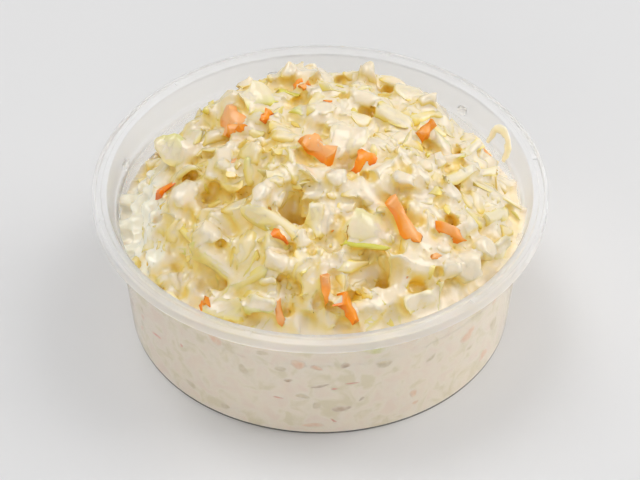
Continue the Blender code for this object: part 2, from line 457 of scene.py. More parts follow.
# Where it stands high against the wall its edge is rounded off, so that the collar shows above it.
edge_rounding = 0.0020
target -= rising(grid_r, 0.0488, 0.0024) * rising(outline, 0.0345, 0.0030) * edge_rounding
inner = np.clip((salad_edge - grid_r) / 0.0060, 0.0, 1.0)
edge_depth = 0.0034
body_top = blurred(outline, 4) - edge_depth - (layer_depth - edge_depth) * inner - 0.45 * sunk
lip_top = float(outline[(grid_r > 0.0500) & (grid_r < 0.0508)].min()) - 0.0006
near_edge = grid_r > 0.0485
body_top[near_edge] = np.maximum(body_top, lip_top + 0.0007)[near_edge]

# Dressing that has pooled on the low left side, thick and smooth, in low swellings: place, size.
pools = []
for _ in range(22):
    angle = math.radians(random.uniform(168.0, 212.0))
    distance = random.uniform(0.0435, 0.0500)
    pools.append((
        distance * math.cos(angle), distance * math.sin(angle), random.uniform(0.0014, 0.0026),
        random.uniform(0.0016, 0.0032), random.uniform(0.0012, 0.0020),
    ))
pool_depth = 0.0009
for x, y, width, length, height in pools:
    target -= mound(x, y, 0.0022) * pool_depth
upper = np.minimum(body_top, target - 0.0010)
upper[grid_r > salad_edge + 0.0004] = 0.0300

# Bits that show best, laid on top of the rest: kind, x, y, length, width, thickness in
# millimetres, then turn and tilt in degrees, the way of the tilt, curl, and shade from 0 to 1.
chosen = [
    ("carrot", -39.4, -4.7, 5.2, 3.0, 2.2, 35, 12, 0, 0.3, 0.0),
    ("carrot", -22.6, 9.6, 8.1, 4.8, 3.0, -68, 10, 0, 0.4, 0.95),
    ("carrot", -21.0, 4.2, 4.2, 4.3, 3.0, -20, 10, 0, 0.2, 0.45),
    ("carrot", -13.6, 5.4, 3.4, 2.6, 2.0, 60, 15, 0, 0.2, 0.15),
    ("carrot", -5.6, 20.0, 3.8, 2.6, 2.2, 75, 20, 0, 0.2, 0.35),
    ("carrot", -3.9, 17.6, 2.8, 2.6, 2.0, 20, 10, 0, 0.2, 0.5),
    ("carrot", -0.8, -6.6, 9.1, 3.8, 2.8, -31, 8, 0, 0.3, 0.62),
    ("carrot", 10.4, -9.6, 7.0, 3.7, 2.8, 44, 12, 0, -0.3, 0.22),
    ("carrot", 26.9, 5.0, 5.5, 3.2, 2.5, 48, 14, 0, 0.2, 0.35),
    ("carrot", 34.6, -24.4, 12.5, 3.5, 2.5, -9, 6, 0, 0.3, 0.55),
    ("carrot", -9.6, -32.4, 4.9, 2.6, 2.2, -30, 15, 0, 0.2, 0.0),
    ("carrot", 1.4, -44.6, 7.4, 3.7, 2.8, -82, 12, 0, 0.2, 0.60),
    ("carrot", 6.6, -48.0, 7.2, 4.1, 2.8, -48, 10, 0, 0.3, 0.12),
    ("carrot", -27.9, -41.4, 2.8, 3.2, 2.2, 10, 10, 0, 0.0, 0.2),
    ("leaf", -26.0, -31.6, 14.0, 6.6, 2.2, 140, 20, 60, 0.5, 0.34),
    ("leaf", -12.0, -28.0, 17.0, 4.6, 2.0, 144, 8, 0, 0.9, 0.36),
    ("leaf", -1.0, -26.5, 9.5, 4.6, 2.0, -84, 14, 0, 0.6, 0.50),
    ("leaf", 13.8, -28.6, 15.0, 8.0, 1.8, 4, 16, 100, 0.45, 0.66),
    ("carrot", 20.6, -25.8, 12.0, 3.7, 2.8, -46, 8, 0, 0.4, 0.42),
    ("leaf", 11.5, -33.6, 12.0, 2.2, 1.2, -4, 8, 0, 0.9, 0.05),
    ("leaf", 19.6, -37.0, 9.5, 6.5, 1.8, 62, 26, 0, 0.9, 0.85),
    ("leaf", -37.0, 6.5, 12.0, 6.4, 2.0, -42, 32, 48, 0.5, 0.92),
    ("leaf", -33.5, -2.0, 8.5, 5.0, 1.8, -30, 20, 120, -0.8, 0.70),
    ("leaf", 7.0, -1.5, 10.5, 7.5, 2.0, -12, 12, 90, 0.7, 0.92),
    ("leaf", -1.5, -14.5, 9.5, 6.0, 1.9, 12, 18, 160, 0.9, 0.88),
    ("leaf", 45.2, -22.0, 7.8, 6.2, 1.9, 66, 34, 20, 0.9, 0.85),
    ("dice", 36.4, -31.0, 7.2, 6.4, 5.4, 20, 10, 0, 0.2, 0.95),
    ("dice", 40.6, -26.4, 5.8, 5.2, 4.8, 60, 10, 0, 0.2, 0.92),
    ("dice", 32.4, -34.6, 5.2, 4.6, 4.2, 0, 20, 0, 0.2, 0.90),
    ("dice", 12.2, 28.0, 4.6, 4.4, 8.0, 10, 3, 0, 0.0, 1.0),
    ("dice", 27.6, 17.0, 5.0, 3.4, 5.6, 0, 10, 0, 0.0, 0.75),
    ("dice", 20.5, -15.5, 5.4, 4.8, 4.4, 8, 10, 0, 0.0, 0.92),
    ("dice", 3.9, -15.8, 5.4, 4.4, 4.0, 30, 12, 0, 0.0, 0.95),
    ("dice", -10.6, -37.4, 6.4, 5.2, 4.6, -20, 12, 0, 0.0, 0.90),
    ("dice", -19.0, 24.4, 4.6, 3.8, 3.8, 30, 18, 0, 0.0, 0.80),
    ("dice", -8.0, 26.0, 5.4, 4.2, 4.2, 50, 18, 0, 0.0, 0.75),
    ("dice", 0.6, 24.5, 5.8, 4.6, 3.8, -20, 18, 0, 0.2, 0.85),
    ("dice", 30.0, -4.5, 6.8, 3.4, 3.2, 80, 14, 0, 0.4, 0.88),
    ("dice", -28.6, -27.0, 6.6, 4.6, 3.6, 12, 12, 0, 0.3, 0.82),
    ("dice", -14.6, -21.6, 6.6, 4.4, 3.8, 70, 12, 0, 0.3, 0.80),
    ("dice", 36.8, -22.0, 4.8, 4.2, 3.6, 40, 10, 0, 0.0, 0.80),
    ("shred", 47.0, -4.0, 19.0, 2.6, 1.2, 6, 3, 0, -0.45, 0.85),
    ("shred", 40.0, -1.0, 14.0, 2.4, 1.2, 33, 8, 0, 0.8, 0.85),
    ("shred", 34.5, -7.5, 15.0, 2.6, 1.2, 52, 8, 0, 0.9, 0.80),
    ("shred", 31.5, -1.0, 12.0, 2.4, 1.2, 24, 10, 0, 1.0, 0.80),
    ("shred", 38.6, 6.5, 11.0, 2.2, 1.2, 58, 8, 0, 0.9, 0.50),
    ("shred", 29.4, -39.6, 8.0, 1.8, 1.2, -74, 20, 0, 0.8, 0.85),
    ("shred", -28.8, 18.0, 5.6, 2.4, 1.6, 80, 12, 0, 0.4, 0.24),
    ("shred", -8.0, 17.0, 6.5, 2.0, 1.6, -28, 10, 0, 0.3, 0.05),
    ("leaf", -16.0, 14.5, 9.0, 6.2, 1.9, 30, 16, 40, 0.8, 0.82),
    ("leaf", 18.5, 9.0, 10.0, 6.4, 1.9, -35, 16, 60, -0.7, 0.80),
    ("leaf", 23.5, 22.0, 9.0, 6.0, 1.9, 15, 22, 60, 0.7, 0.72),
    ("leaf", -43.0, -16.0, 7.5, 5.0, 1.8, 70, 14, 0, 0.5, 0.85),
    ("leaf", -36.0, -37.0, 11.0, 4.8, 1.8, -42, 16, 60, 0.6, 0.45),
    ("leaf", -24.0, -43.0, 11.0, 5.0, 1.8, -20, 6, 90, 0.2, 0.60),
    ("leaf", -14.6, -45.0, 8.0, 5.0, 1.8, -12, 8, 90, 0.3, 0.80),
    ("leaf", 24.5, -42.5, 9.5, 5.6, 1.9, 24, 16, 60, 0.7, 0.78),
]

bits = []
least_rate = 0.02


def box_span(x, y, half, turn):
    """Cells under a turned box, and how far below and above its middle the box reaches there."""
    reach = float(np.linalg.norm(half))
    first_i = max(0, int((x - reach + span) / cell))
    last_i = min(cells - 1, int((x + reach + span) / cell) + 1)
    first_j = max(0, int((y - reach + span) / cell))
    last_j = min(cells - 1, int((y + reach + span) / cell) + 1)
    dx = grid_x[first_i:last_i, first_j:last_j] - x
    dy = grid_y[first_i:last_i, first_j:last_j] - y
    low = np.full(dx.shape, -1.0)
    high = np.full(dx.shape, 1.0)
    for axis in range(3):
        along = turn[0][axis] * dx + turn[1][axis] * dy
        rate = turn[2][axis]
        if abs(rate) < least_rate:
            rate = least_rate
        enter = (-half[axis] - along) / rate
        leave = (half[axis] - along) / rate
        low = np.maximum(low, np.minimum(enter, leave))
        high = np.minimum(high, np.maximum(enter, leave))
    return (slice(first_i, last_i), slice(first_j, last_j)), low, high, low < high


def slope_at(x, y, reach):
    """Upward normal of what lies there, over a patch of that reach."""
    i, j = cell_at(x, y)
    n = max(1, int(round(reach / cell)))
    i = min(max(i, n), cells - 1 - n)
    j = min(max(j, n), cells - 1 - n)
    fall_x = (upper[i + n, j] - upper[i - n, j]) / (2 * n * cell)
    fall_y = (upper[i, j + n] - upper[i, j - n]) / (2 * n * cell)
    steepest = 1.1
    size = max(1.0, math.hypot(fall_x, fall_y) / steepest)
    return Vector((-fall_x / size, -fall_y / size, 1.0)).normalized()


least_showing = 0.0009
# of what lies under a bit, in percent: how much it rests on, how much of it counts as its top, and
# how much of it has to show
resting_share = 72.0
top_share = 85.0
showing_share = 60.0


def lower_bit(kind, x, y, size, yaw, tilt, tilt_way, sink, over=0.0, forced=False):
    """Lowers one bit into the cup. One that would stand too far above the outline is pressed down
    into those below, and left out if too little of it would then show."""
    global bits
    up = slope_at(x, y, max(size[0], size[1]) * 0.5)
    if size[2] > size[0]:
        up = Vector((0.0, 0.0, 1.0))
    lean = Matrix.Rotation(tilt, 3, Vector((math.cos(tilt_way), math.sin(tilt_way), 0.0)))
    flat = Vector((0.0, 0.0, 1.0)).rotation_difference(up).to_matrix()
    turn = flat @ lean @ Matrix.Rotation(yaw, 3, "Z")
    rows = [list(row) for row in turn]
    half = [value / 2 for value in size]
    where, low, high, under = box_span(x, y, half, rows)
    if not under.any():
        return False
    rest = np.percentile((upper[where] - low)[under], resting_share)
    height = float(rest) - sink
    excess = float(np.percentile((height + high - target[where])[under], top_share)) - over
    if excess > 0.0 and not forced:
        height -= excess
        if np.percentile((height + high - upper[where])[under], showing_share) < least_showing:
            return False
    if not forced and (under & hollow[where] & (height + high > target[where] + 0.0005)).any():
        return False
    raised = np.where(under, height + high - 0.0002, -1.0)
    upper[where] = np.maximum(upper[where], raised)
    bits.append({"kind": kind, "place": (x, y, height), "size": size, "turn": turn})
    return True


def deepest(tries, margin):
    """The spot, out of a few chosen at random, where most is missing below the outline."""
    best = None
    for _ in range(tries):
        angle = random.uniform(0.0, math.tau)
        distance = (salad_edge - margin) * math.sqrt(random.random())
        x = distance * math.cos(angle)
        y = distance * math.sin(angle)
        i, j = cell_at(x, y)
        missing = target[i, j] - upper[i, j]
        if best is None or missing > best[0]:
            best = (missing, x, y)
    return best


def random_size(kind):
    vary = random.uniform
    if kind == "dice":
        side = vary(0.0040, 0.0076)
        return (side * vary(1.0, 1.6), side * vary(0.65, 1.0), side * vary(0.55, 0.90))
    if kind == "leaf":
        side = vary(0.0062, 0.0098)
        return (side * vary(1.0, 1.4), side * vary(0.55, 0.9), vary(0.0021, 0.0030))
    if kind == "shred":
        return (vary(0.0080, 0.0150), vary(0.0024, 0.0042), vary(0.0018, 0.0026))
    if kind == "carrot":
        return (vary(0.0030, 0.0075), vary(0.0013, 0.0022), vary(0.0009, 0.0015))
    side = vary(0.0014, 0.0026)
    return (side * vary(1.0, 1.5), side * vary(0.7, 1.0), side * vary(0.5, 0.9))


mixture = (
    # kind, share while filling, share in the top layer, usual tilt in degrees
    ("dice", 0.66, 0.66, 30.0),
    ("leaf", 0.16, 0.14, 30.0),
    ("shred", 0.12, 0.12, 18.0),
    ("carrot", 0.010, 0.010, 14.0),
    ("mince", 0.05, 0.07, 30.0),
)


def random_kind(column):
    draw = random.random()
    for row in mixture:
        draw -= row[column]
        if draw < 0:
            return row
    return mixture[0]


for kind, x, y, length, width, thickness, *_ in chosen:
    # leaves room under the outline for the listed bits
    target -= mound(x / 1000, y / 1000, length / 3200) * thickness / 1000 * 0.75

for count, column, tries, lowest, highest in (
    # how many are tried, column of the mixture, spots looked at for each, height over the outline
    (500, 1, 14, -0.0030, -0.0016),
    (900, 2, 24, -0.0014, 0.0006),
    (700, 2, 60, -0.0012, 0.0009),
):
    for _ in range(count):
        kind, _, _, usual_tilt = random_kind(column)
        size = random_size(kind)
        _, x, y = deepest(tries, 0.0008)
        lower_bit(
            kind, x, y, size, random.uniform(0.0, math.tau),
            math.radians(abs(random.gauss(0.0, usual_tilt))), random.uniform(0.0, math.tau),
            size[2] * random.uniform(0.05, 0.30), random.uniform(lowest, highest),
        )

# Small bits drop into the deepest chinks left between the others.
chink_depth = 0.0024
small = 0.62
for _ in range(200):
    missing, x, y = deepest(90, 0.0015)
    if missing > chink_depth:
        size = tuple(small * value for value in random_size("dice"))
        lower_bit(
            "dice", x, y, size, random.uniform(0.0, math.tau), random.uniform(0.0, 0.7),
            random.uniform(0.0, math.tau), size[2] * 0.1, random.uniform(-0.0018, -0.0006),
        )

for x, y, width, depth in hollows:
    for _ in range(4):
        kind = random.choice(("mince", "mince", "dice"))
        size = random_size(kind)
        if kind == "dice":
            size = tuple(0.5 * value for value in size)
        lower_bit(
            kind, random.gauss(x, width), random.gauss(y, width), size, random.uniform(0.0, math.tau),
            random.uniform(0.0, 0.8), random.uniform(0.0, math.tau), size[2] * 0.2,
            random.uniform(-0.0015, 0.0),
        )

for kind, x, y, length, width, thickness, yaw, tilt, way, curl, tone in chosen:
    sunk_share = 0.02 if kind == "carrot" else 0.22
    lower_bit(
        kind, x / 1000, y / 1000, (length / 1000, width / 1000, thickness / 1000), math.radians(yaw),
        math.radians(tilt), math.radians(way), thickness / 1000 * sunk_share, 0.0, True,
    )
    bits[-1]["curl"] = curl
    bits[-1]["tone"] = tone


buried = 0.0016


def shows(bit):
    """Whether a bit reaches near the top anywhere; what lies buried is left out."""
    half = [value / 2 for value in bit["size"]]
    rows = [list(row) for row in bit["turn"]]
    where, low, high, under = box_span(bit["place"][0], bit["place"][1], half, rows)
    return bool((under & (bit["place"][2] + high > upper[where] - buried)).any())


bits = [bit for bit in bits if shows(bit)]


def grid_value(grid, points):
    """Values of a grid at the places of some points."""
    i = np.clip(((points[:, 0] + span) / cell).round().astype(int), 0, cells - 1)
    j = np.clip(((points[:, 1] + span) / cell).round().astype(int), 0, cells - 1)
    return grid[i, j]


def mesh_points(mesh):
    flat = np.zeros(len(mesh.vertices) * 3)
    mesh.vertices.foreach_get("co", flat)
    return flat.reshape(-1, 3)


def set_mesh_points(mesh, points):
    mesh.vertices.foreach_set("co", points.astype(np.float32).ravel())
    mesh.update()


def set_attribute(mesh, name, values):
    layer = mesh.attributes.new(name, "FLOAT", "POINT")
    layer.data.foreach_set("value", np.asarray(values, np.float32))


def inside_cup(points, press=0.00005):
    """Presses what reaches past the cup's inner face flat against it."""
    radius = np.hypot(points[:, 0], points[:, 1])
    most = wall_inside(points[:, 2]) + press
    share = np.where(radius > most, most / np.maximum(radius, 1e-6), 1.0)
    points[:, 0] *= share
    points[:, 1] *= share
    points[:, 2] = np.minimum(points[:, 2], cad_high.z - 0.00005)
    return points


def laid(model, bit, number, curl, twist, taper, ruffle, uneven):
    """One bit of its own: a copy of a model at the bit's size, tapered, twisted, curled, ruffled."""
    piece = model.copy()
    piece.data = model.data.copy()
    bpy.context.collection.objects.link(piece)
    piece.name = bit["kind"] + str(number)
    draw = np.random.default_rng(1000 + number)
    curl = bit.get("curl", draw.uniform(-curl, curl))
    twist, lean_y, lean_z = draw.uniform(-1.0, 1.0, 3) * (twist, 0.3 * taper, 0.3 * taper)
    narrow_y, narrow_z = 1.0 + draw.uniform(-1.0, 1.0, 2) * taper
    length, width, thickness = bit["size"]
    unit = mesh_points(piece.data)
    starts = draw.uniform(0.0, math.tau, 6)
    waves = draw.uniform(2.5, 6.5, (3, 3))
    wobble = np.sin(unit @ waves + starts[:3]) + 0.5 * np.sin(unit @ waves.T * 2.1 + starts[3:])
    points = unit + wobble * uneven
    end = points[:, 0] + 0.5
    waist = 1.0 + 2.4 * uneven * np.sin(points[:, 0] * draw.uniform(5.0, 11.0) + starts[2])
    y = (points[:, 1] * (1.0 + (narrow_y - 1.0) * end) * waist + lean_y * points[:, 0]) * width
    z = (points[:, 2] * (1.0 + (narrow_z - 1.0) * end) + lean_z * points[:, 0]) * thickness
    fold = np.sin(points[:, 0] * draw.uniform(4.0, 8.0) + starts[0])
    fold += 0.7 * np.sin(points[:, 1] * draw.uniform(4.0, 8.0) + points[:, 0] * 3.0 + starts[1])
    z += fold * ruffle * width
    turn = twist * points[:, 0]
    points[:, 1] = y * np.cos(turn) - z * np.sin(turn)
    points[:, 2] = y * np.sin(turn) + z * np.cos(turn)
    points[:, 0] *= length
    if abs(curl) > 0.05:
        radius = length / curl
        angle = points[:, 0] / radius
        off = radius - points[:, 2]
        points[:, 0] = np.sin(angle) * off
        points[:, 2] = radius - np.cos(angle) * off
        points[:, 2] -= points[:, 2].mean()
    rotation = np.array([list(row) for row in bit["turn"]])
    points = points @ rotation.T + np.array(bit["place"])
    set_mesh_points(piece.data, inside_cup(points))
    set_attribute(piece.data, "tone", np.full(len(points), bit.get("tone", draw.beta(2.2, 1.6))))
    side = 1.0 if draw.random() < 0.5 else -1.0
    greenness = 1.0 if bit.get("tone", 1.0) < 0.35 else max(0.0, draw.uniform(-2.2, 0.9))
    if bit.get("tone", 1.0) < 0.1:
        side *= 0.3
    rim = np.clip((side * unit[:, 1] * 2.0 + (1.0 - abs(side)) * 1.2 - 0.1) / 0.8, 0.0, 1.0)
    set_attribute(piece.data, "rim", rim * greenness)
    return piece


def finish_bits(name, chop, models, shaping, finish):
    """Lays all the bits of one chop, joins them and gives them their finish."""
    pieces = []
    for number, bit in enumerate(bits):
        if bit["kind"] == chop:
            pieces.append(laid(models[number % len(models)], bit, number, *shaping))
    kind = joined(name, pieces)
    give_finish(kind, finish)
    bpy.ops.object.shade_smooth_by_angle(angle=math.radians(70.0))
    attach(kind, "root")
    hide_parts("coleslaw")
    return kind


def unit_shape(name, add, cuts_along, cuts, scatter, smoothing, roundness, seed):
    """A rough bit one unit long, wide and thick, as a start for what is chopped: a primitive cut
    finer, first along its length, then all over, its corners moved about and eaten away."""
    bpy.ops.object.select_all(action="DESELECT")
    add()
    shape = bpy.context.active_object
    shape.name = name
    place_in_mesh(shape)
    bpy.ops.object.mode_set(mode="EDIT")
    bm = bmesh.from_edit_mesh(shape.data)
    for edge in bm.edges:
        ends = edge.verts[0].co - edge.verts[1].co
        edge.select_set(abs(ends.x) > 0.7)
    bmesh.update_edit_mesh(shape.data)
    if cuts_along:
        bpy.ops.mesh.subdivide(number_cuts=cuts_along)
    bpy.ops.mesh.select_all(action="SELECT")
    if cuts:
        bpy.ops.mesh.subdivide(number_cuts=cuts)
    bpy.ops.mesh.select_all(action="SELECT")
    bpy.ops.transform.vertex_random(offset=scatter, seed=seed)
    if roundness:
        bpy.ops.transform.tosphere(value=roundness)
    bpy.ops.mesh.vertices_smooth(factor=smoothing, repeat=1)
    bpy.ops.object.mode_set(mode="OBJECT")
    points = mesh_points(shape.data)
    low = points.min(axis=0)
    high = points.max(axis=0)
    set_mesh_points(shape.data, (points - (low + high) / 2) / (high - low))
    return shape


def cube():
    bpy.ops.mesh.primitive_cube_add(size=1.0, location=(0.0, 0.0, 0.0))


def stick():
    bpy.ops.mesh.primitive_cylinder_add(
        vertices=6, radius=0.5, depth=1.0, end_fill_type="NGON", location=(0.0, 0.0, 0.0),
        rotation=(0.0, math.pi / 2, 0.0),
    )


def thickened(flat):
    """Gives a flat grid one unit across a thickness of one unit."""
    thick = flat.modifiers.new("thick", "SOLIDIFY")
    thick.thickness = 1.0
    thick.offset = 0.0
    bpy.ops.object.modifier_apply(modifier=thick.name)


def sheet():
    bpy.ops.mesh.primitive_grid_add(x_subdivisions=6, y_subdivisions=4, size=1.0)
    flat = bpy.context.active_object
    thickened(flat)
    bpy.ops.object.mode_set(mode="EDIT")
    bpy.ops.mesh.select_mode(type="EDGE")
    bm = bmesh.from_edit_mesh(flat.data)
    for edge in bm.edges:
        edge.select_set(abs(edge.verts[0].co.z - edge.verts[1].co.z) > 0.9)
    bmesh.update_edit_mesh(flat.data)
    bpy.ops.mesh.subdivide(number_cuts=1)
    bpy.ops.mesh.select_mode(type="VERT")
    bpy.ops.object.mode_set(mode="OBJECT")
    points = mesh_points(flat.data)
    edge = np.maximum(np.abs(points[:, 0]), np.abs(points[:, 1])) * 2.0
    points[:, :2] *= np.where((edge > 0.99) & (np.abs(points[:, 2]) > 0.1), 0.93, 1.0)[:, None]
    points[:, 2] *= 1.0 - 0.45 * edge ** 3
    rounding = np.sqrt(1.0 - 1.1 * points[:, 1] ** 2), np.sqrt(1.0 - 1.1 * points[:, 0] ** 2)
    points[:, 0] *= rounding[0]
    points[:, 1] *= rounding[1]
    set_mesh_points(flat.data, points)


def color_ramp(nodes, links, share, first, last, *between):
    """A run of colours over a share from 0 to 1, each given with its place on the way."""
    ramp = nodes.new("ShaderNodeValToRGB")
    stops = ramp.color_ramp.elements
    for number, (position, color) in enumerate((first, last, *between)):
        stop = stops[number] if number < 2 else stops.new(position)
        stop.position = position
        stop.color = (*color, 1.0)
    links.new(share, ramp.inputs["Fac"])
    return ramp.outputs["Color"]


def coated_finish(name, colors, gloss, glow, mottle_scale, spread=0.5, green_edges=False):
    """Finish of what is tossed in dressing. Its four colours paint shade: they run from dark gold in the
    deepest gap to the open tops; how open a place is to the light comes with the mesh, as does each bit's own
    shade."""
    finish = bpy.data.materials.new(name)
    finish.use_nodes = True
    nodes = finish.node_tree.nodes
    links = finish.node_tree.links
    shader = nodes["Principled BSDF"]
    mottle = noise(nodes, links, mottle_scale, 4.0)
    tone = attribute(nodes, "tone").outputs["Fac"]
    shade = calculated(nodes, links, "MULTIPLY_ADD", mottle.outputs["Fac"], 0.5, tone)
    lift = rescaled(nodes, links, shade.outputs["Value"], 0.0, 1.5, -spread / 2, spread / 2)
    openness = calculated(nodes, links, "ADD", attribute(nodes, "open").outputs["Fac"], lift)
    # painted shade: the less open a place is to the light, the darker and more golden its colour
    color = color_ramp(
        nodes, links, openness.outputs["Value"],
        (0.10, colors[0]), (0.96, colors[3]), (0.34, colors[1]), (0.64, colors[2]),
    )
    if green_edges:
        green = color_mix(nodes, links, attribute(nodes, "rim").outputs["Fac"], color, (0.78, 0.88, 0.30))
        green.blend_type = "MULTIPLY"
        color = green.outputs["Result"]
    links.new(color, shader.inputs["Base Color"])
    set_inputs(shader, {
        "Roughness": gloss, "IOR": 1.38, "Subsurface Weight": glow, "Subsurface Radius": (1.0, 0.90, 0.70),
        "Subsurface Scale": 0.0005, "Coat Weight": 0.65, "Coat Roughness": 0.10,
    })
    grain = noise(nodes, links, 900.0, 3.0).outputs["Fac"]
    links.new(bump(nodes, links, grain, 0.35, 0.00022), shader.inputs["Normal"])
    return finish


# Chopped cabbage rib: thick, crisp, nearly white bits 3 to 6 mm across, cut square and rounded off
# by the dressing on them. They make up most of the heap.
dice_models = [
    unit_shape("dice_model" + str(n), cube, 0, 3, scatter, smoothing, roundness, n)
    for n, (scatter, smoothing, roundness) in enumerate((
        (0.12, 0.5, 0.25), (0.15, 0.5, 0.45), (0.18, 0.6, 0.35),
        (0.10, 0.5, 0.60), (0.16, 0.5, 0.20), (0.13, 0.6, 0.70),
    ))
]
# the first colours are painted shade, dark gold in the gaps between the bits; the last is the open tops
crisp = coated_finish(
    "cabbage_rib_in_dressing",
    ((0.54, 0.25, 0.01), (0.85, 0.55, 0.05), (0.89, 0.70, 0.22), (0.885, 0.775, 0.585)),
    0.32, 0.75, 420.0,
)
# curl, twist, taper, ruffle, unevenness
dice = finish_bits("cabbage_dice", "dice", dice_models, (0.6, 0.6, 0.45, 0.03, 0.060), crisp)

# Cabbage leaf: thin flaps off the outer part of a leaf, curled and ruffled, 5 to 14 mm long, their
# cut edges pale yellow and here and there green.
leaf_models = [
    unit_shape("leaf_model" + str(n), sheet, 0, 0, scatter, 0.35, 0.0, 20 + n)
    for n, scatter in enumerate((0.05, 0.08, 0.10, 0.07))
]
# the first colours are painted shade, dark gold in the gaps between the bits; the last is the open tops
leafy = coated_finish(
    "cabbage_leaf_in_dressing",
    ((0.52, 0.26, 0.01), (0.84, 0.57, 0.05), (0.885, 0.72, 0.215), (0.88, 0.775, 0.545)),
    0.30, 0.75, 300.0, 0.5, True,
)
leaves = finish_bits("cabbage_leaf", "leaf", leaf_models, (1.3, 0.8, 0.5, 0.10, 0.055), leafy)

# Cabbage shreds: long narrow cuts across the leaf, 7 to 20 mm long. They are springy, so they lie
# curved and twisted among the other bits, most of all at the right.
shred_model = unit_shape("shred_model", stick, 9, 0, 0.05, 0.3, 0.0, 7)
shreds = finish_bits("cabbage_shreds", "shred", [shred_model], (1.6, 1.4, 0.6, 0.09, 0.07), leafy)

# Minced crumbs: what the knife leaves of the cabbage, 1 to 3 mm across and roundish, filling in
# between the larger bits.
crumb_model = unit_shape("crumb_model", cube, 0, 1, 0.10, 0.4, 0.3, 5)
crumbs = finish_bits("cabbage_crumbs", "mince", [crumb_model], (0.0, 0.0, 0.4, 0.0, 0.07), crisp)

# Carrot: short slivers with uneven ends, 3 to 12 mm long. The bare flesh is orange, and paler and
# pinker where dressing covers it.
carrot_model = unit_shape("carrot_model", stick, 7, 0, 0.10, 0.3, 0.1, 9)
# the first colours are painted shade, deep red-orange where the carrot lies in the gaps; the last is its open
# top
orange = coated_finish(
    "carrot_in_dressing",
    ((0.78, 0.16, 0.004), (0.97, 0.25, 0.006), (1.00, 0.33, 0.015), (0.97, 0.48, 0.19)),
    0.30, 0.5, 330.0, 1.1,
)
flesh = orange.node_tree.nodes["Principled BSDF"]
set_inputs(flesh, {"Coat Weight": 0.35, "Specular IOR Level": 0.35})
carrots = finish_bits(
    "carrot_slivers", "carrot", [carrot_model], (0.6, 0.9, 0.65, 0.05, 0.09), orange
)

for model in dice_models + leaf_models + [shred_model, crumb_model, carrot_model]:
    bpy.data.objects.remove(model)

# Dressing: thick, creamy, pale yellow. It fills the space between the bits up to their shoulders
# and lies against the cup's wall all round; under it is one smooth body down to the cup's floor.
body_bottom = 0.0255
body_edge = 0.0520
ring_count = 52
around = 160
# What the bits are bedded in: rings of points, flat below and a little under the bits' tops above.
body_verts = [(0.0, 0.0, body_bottom)]
body_faces = []
radii = [salad_edge * (n + 1) / ring_count for n in range(ring_count)]
for side in ("under", "over"):
    for radius in (radii if side == "under" else radii[::-1]):
        for n in range(around):
            angle = math.tau * n / around
            x = radius * math.cos(angle)
            y = radius * math.sin(angle)
            z = body_bottom
            if side == "over":
                z = float(grid_value(body_top, np.array([[x, y, 0.0]]))[0])
                x *= body_edge / salad_edge
                y *= body_edge / salad_edge
            body_verts.append((x, y, z))
top_point = len(body_verts)
body_verts.append((0.0, 0.0, float(grid_value(body_top, np.zeros((1, 3)))[0])))
for n in range(around):
    after = (n + 1) % around
    body_faces.append((0, 1 + after, 1 + n))
    for ring in range(2 * ring_count - 1):
        low = 1 + ring * around
        high = low + around
        body_faces.append((low + n, low + after, high + after, high + n))
    last = 1 + (2 * ring_count - 1) * around
    body_faces.append((last + n, last + after, top_point))
body_mesh = bpy.data.meshes.new("body")
body_mesh.from_pydata(body_verts, [], body_faces)
body = bpy.data.objects.new("body", body_mesh)
bpy.context.collection.objects.link(body)

film_reach = 0.00066
carrot_bare = 0.00015
coat_least = -0.00016
coat_more = 0.00038
film_press = 0.00006
film_voxel = 0.00055


def swollen(mesh, by):
    normals = np.zeros(len(mesh.vertices) * 3)
    mesh.vertices.foreach_get("normal", normals)
    set_mesh_points(mesh, mesh_points(mesh) + normals.reshape(-1, 3) * np.reshape(by, (-1, 1)))


under_film = [body]
for kind in (dice, leaves, shreds, crumbs, carrots):
    copy = kind.copy()
    copy.data = kind.data.copy()
    copy.parent = None
    swollen(copy.data, film_reach - (carrot_bare if kind == carrots else 0.0))
    bpy.context.collection.objects.link(copy)
    under_film.append(copy)
swollen(body.data, film_reach)
for x, y, width, length, height in pools:
    bpy.ops.object.select_all(action="DESELECT")
    bpy.ops.mesh.primitive_uv_sphere_add(
        segments=24, ring_count=14, radius=1.0,
        location=(x, y, float(grid_value(outline, np.array([[x, y, 0.0]]))[0]) - height * 1.05),
        rotation=(0.0, 0.0, math.atan2(y, x)), scale=(width, length, height),
    )
    pool = bpy.context.active_object
    place_in_mesh(pool)
    set_mesh_points(pool.data, inside_cup(mesh_points(pool.data)))
    under_film.append(pool)
film = joined("dressing", under_film)
for name in list(film.keys()):
    del film[name]
remesh = film.modifiers.new("remesh", "REMESH")
remesh.mode = "VOXEL"
remesh.voxel_size = film_voxel
bpy.ops.object.modifier_apply(modifier=remesh.name)
soften = film.modifiers.new("soften", "SMOOTH")
soften.factor = 0.5
soften.iterations = 5
bpy.ops.object.modifier_apply(modifier=soften.name)
